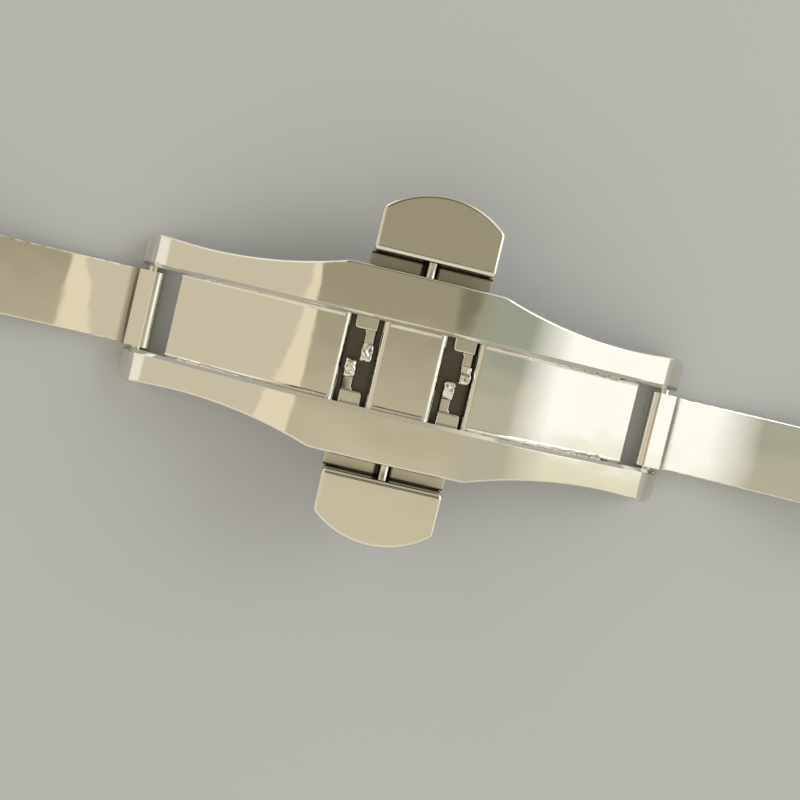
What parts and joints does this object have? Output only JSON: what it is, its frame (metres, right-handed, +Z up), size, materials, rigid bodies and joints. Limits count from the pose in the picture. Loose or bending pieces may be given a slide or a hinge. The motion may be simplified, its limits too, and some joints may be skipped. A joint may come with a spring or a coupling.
{
  "type": "butterfly watch clasp",
  "caption": "Double-folding watch clasp: arched channelled frame, hinged arms on both ends and two sprung push buttons at the sides that free the arms' hooks.",
  "frame": {"origin": "on the surface that the open clasp lies on, under the middle of the arched frame", "axes": "+X along the clasp towards the right arm, +Y across it towards the rear button, +Z up, away from the wrist"},
  "size_m": [0.084, 0.0258, 0.0086],
  "materials": {
    "polished_steel": "mirror-polished stainless steel with fine wear scratches",
    "cast_steel": "bright cast steel, rough and faceted as brazed",
    "blanked_steel": "blanked stainless steel sheet, tumbled to a soft shine",
    "spring_steel": "drawn stainless spring wire",
    "turned_steel": "turned stainless steel pins and screws with fine turning marks"
  },
  "bodies": {
    "frame": {"center_frame": "polished_steel", "bottom_cover": "polished_steel", "cover_screws": "turned_steel", "stop_pins": "turned_steel", "hinge_pin_left": "turned_steel", "hinge_pin_right": "turned_steel", "return_spring_front": "spring_steel", "return_spring_rear": "spring_steel"},
    "button_front": {"catch_slide_front": "blanked_steel", "catch_noses_front": "cast_steel", "guide_rod_front": "turned_steel", "button_cap_front": "polished_steel"},
    "button_rear": {"catch_slide_rear": "blanked_steel", "catch_noses_rear": "cast_steel", "guide_rod_rear": "turned_steel", "button_cap_rear": "polished_steel"},
    "arm_left": {"arm_left": "polished_steel", "arm_hook_left": "polished_steel", "spring_bar_tube_left": "turned_steel", "spring_bar_spring_left": "spring_steel"},
    "arm_right": {"arm_right": "polished_steel", "arm_hook_right": "polished_steel", "spring_bar_tube_right": "turned_steel", "spring_bar_spring_right": "spring_steel"},
    "bar_tip_left_front": {"spring_bar_tip_left_front": "turned_steel"},
    "bar_tip_left_rear": {"spring_bar_tip_left_rear": "turned_steel"},
    "bar_tip_right_front": {"spring_bar_tip_right_front": "turned_steel"},
    "bar_tip_right_rear": {"spring_bar_tip_right_rear": "turned_steel"}
  },
  "joints": [
    {"name": "arm_right_hinge", "type": "hinge", "parent": "frame", "child": "arm_right", "pos_m": [0.02039, 0, 0.001], "axis": [0, -1, 0], "range_deg": [-28, 148.24]},
    {"name": "arm_left_hinge", "type": "hinge", "parent": "frame", "child": "arm_left", "pos_m": [-0.02039, 0, 0.001], "axis": [0, 1, 0], "range_deg": [-28, 148.24]},
    {"name": "button_rear_slide", "type": "slide", "parent": "frame", "child": "button_rear", "axis": [0, -1, 0], "range_m": [0, 0.0007], "stiffness_N_per_m": 700, "springref_m": -0.0006, "deforming": ["return_spring_rear"]},
    {"name": "button_front_slide", "type": "slide", "parent": "frame", "child": "button_front", "axis": [0, 1, 0], "range_m": [0, 0.0007], "stiffness_N_per_m": 700, "springref_m": -0.0006, "deforming": ["return_spring_front"]},
    {"name": "bar_tip_left_rear_slide", "type": "slide", "parent": "arm_left", "child": "bar_tip_left_rear", "axis": [0, -1, 0], "range_m": [0, 0.0009], "stiffness_N_per_m": 300, "springref_m": -0.0006, "deforming": ["spring_bar_spring_left"]},
    {"name": "bar_tip_left_front_slide", "type": "slide", "parent": "arm_left", "child": "bar_tip_left_front", "axis": [0, 1, 0], "range_m": [0, 0.0009], "stiffness_N_per_m": 300, "springref_m": -0.0006, "deforming": ["spring_bar_spring_left"]},
    {"name": "bar_tip_right_rear_slide", "type": "slide", "parent": "arm_right", "child": "bar_tip_right_rear", "axis": [0, -1, 0], "range_m": [0, 0.0009], "stiffness_N_per_m": 300, "springref_m": -0.0006, "deforming": ["spring_bar_spring_right"]},
    {"name": "bar_tip_right_front_slide", "type": "slide", "parent": "arm_right", "child": "bar_tip_right_front", "axis": [0, 1, 0], "range_m": [0, 0.0009], "stiffness_N_per_m": 300, "springref_m": -0.0006, "deforming": ["spring_bar_spring_right"]}
  ]
}
